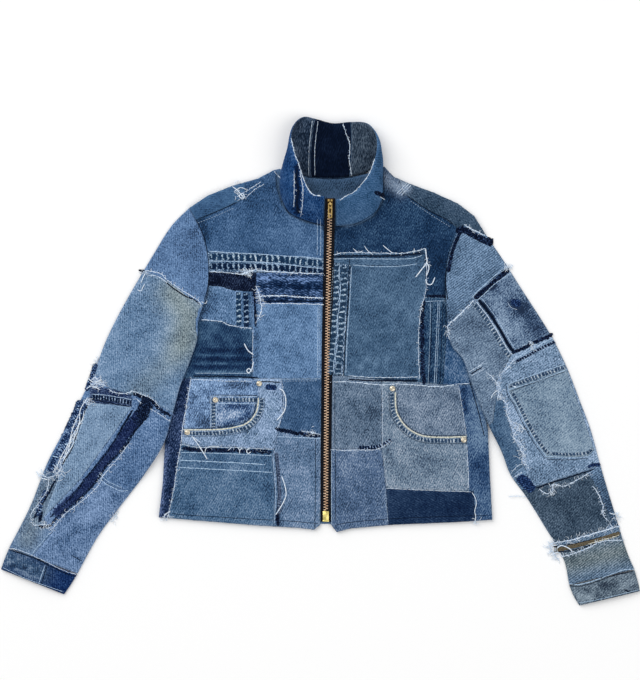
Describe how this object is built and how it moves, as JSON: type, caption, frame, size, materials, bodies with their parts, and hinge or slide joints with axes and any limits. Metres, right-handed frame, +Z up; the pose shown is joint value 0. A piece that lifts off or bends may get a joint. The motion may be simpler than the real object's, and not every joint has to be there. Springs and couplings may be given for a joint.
{
  "type": "patched boro denim jacket",
  "caption": "Patched boro denim jacket laid flat and zipped: pieced fronts, jeans-pocket patches, worn sleeves with cuffs, and a standing collar.",
  "frame": {"origin": "centre of the bounding box in plan, on the surface that the jacket lies on", "axes": "+X to the wearer's left, +Y from hem to collar, +Z up from the surface"},
  "size_m": [1.022, 0.7814, 0.0491],
  "materials": {
    "back_denim": "woven cotton, matte",
    "body_denim_right": "worn denim, matte",
    "body_denim_left": "worn denim, matte",
    "light_denim": "washed denim, matte",
    "mid_denim": "worn denim, matte",
    "grey_denim": "faded grey-blue denim, matte",
    "dark_denim": "dark worn denim, matte",
    "navy_denim": "raw navy denim, matte",
    "black_denim": "near-black denim, matte",
    "collar_blue": "blue denim, matte",
    "collar_lining": "slate denim, matte",
    "sleeve_denim_right": "washed denim, matte",
    "sleeve_denim_left": "washed twill denim, matte",
    "cuff_denim": "distressed denim, matte",
    "zip_tape": "black woven tape",
    "zip_brass": "antiqued brass",
    "rivet_metal": "dull plated brass"
  },
  "bodies": {
    "jacket": {"back": "back_denim", "front_right": "body_denim_right", "front_left": "body_denim_left", "yoke_right": "body_denim_right", "gathered_band_right": "mid_denim", "black_patch_right": "black_denim", "streaked_band_right": "dark_denim", "light_side_patch_right": "light_denim", "large_patch_right": "light_denim", "teal_patch_right": "dark_denim", "side_strip_right": "navy_denim", "pocket_facing_right": "grey_denim", "jeans_front_right": "light_denim", "coin_pocket_right": "grey_denim", "centre_patch_right": "dark_denim", "lower_centre_patch_right": "mid_denim", "hem_patch_right": "mid_denim", "yoke_left": "body_denim_left", "top_trim_left": "mid_denim", "gathered_strip_left": "mid_denim", "large_patch_left": "mid_denim", "side_panel_left": "dark_denim", "side_patch_left": "dark_denim", "centre_patch_left": "mid_denim", "pocket_facing_left": "grey_denim", "jeans_front_left": "grey_denim", "side_strip_left": "navy_denim", "lower_centre_patch_left": "mid_denim", "hem_patch_left": "navy_denim", "collar_outer_right": "collar_blue", "collar_outer_left": "collar_blue", "collar_inner_right": "collar_lining", "collar_inner_back": "black_denim", "collar_inner_left": "collar_lining", "zip_tape_right": "zip_tape", "zip_tape_left": "zip_tape", "zip_chain": "zip_brass", "zip_box": "zip_brass", "zip_slider": "zip_brass", "rivet_right_top": "rivet_metal", "rivet_right_coin": "rivet_metal", "rivet_right_side": "rivet_metal", "rivet_left_top": "rivet_metal", "rivet_left_side": "rivet_metal", "sleeve_right": "sleeve_denim_right", "sleeve_light_patch_right": "light_denim", "sleeve_waistband_right": "navy_denim", "sleeve_long_patch_right": "grey_denim", "sleeve_inner_patch_right": "mid_denim", "sleeve_lower_patch_right": "mid_denim", "cuff_right": "cuff_denim", "sleeve_left": "sleeve_denim_left", "sleeve_jeans_patch_left": "grey_denim", "sleeve_grey_patch_left": "grey_denim", "sleeve_inner_patch_left": "dark_denim", "sleeve_field_patch_left": "light_denim", "sleeve_pocket_left": "light_denim", "sleeve_dark_patch_left": "dark_denim", "cuff_left": "cuff_denim"},
    "pull": {"zip_pull": "zip_brass"}
  },
  "joints": [
    {"name": "pull_hinge", "type": "hinge", "parent": "jacket", "child": "pull", "pos_m": [0.01528, 0.25014, 0.04609], "axis": [-1, 0, 0], "range_deg": [0, 150]}
  ]
}
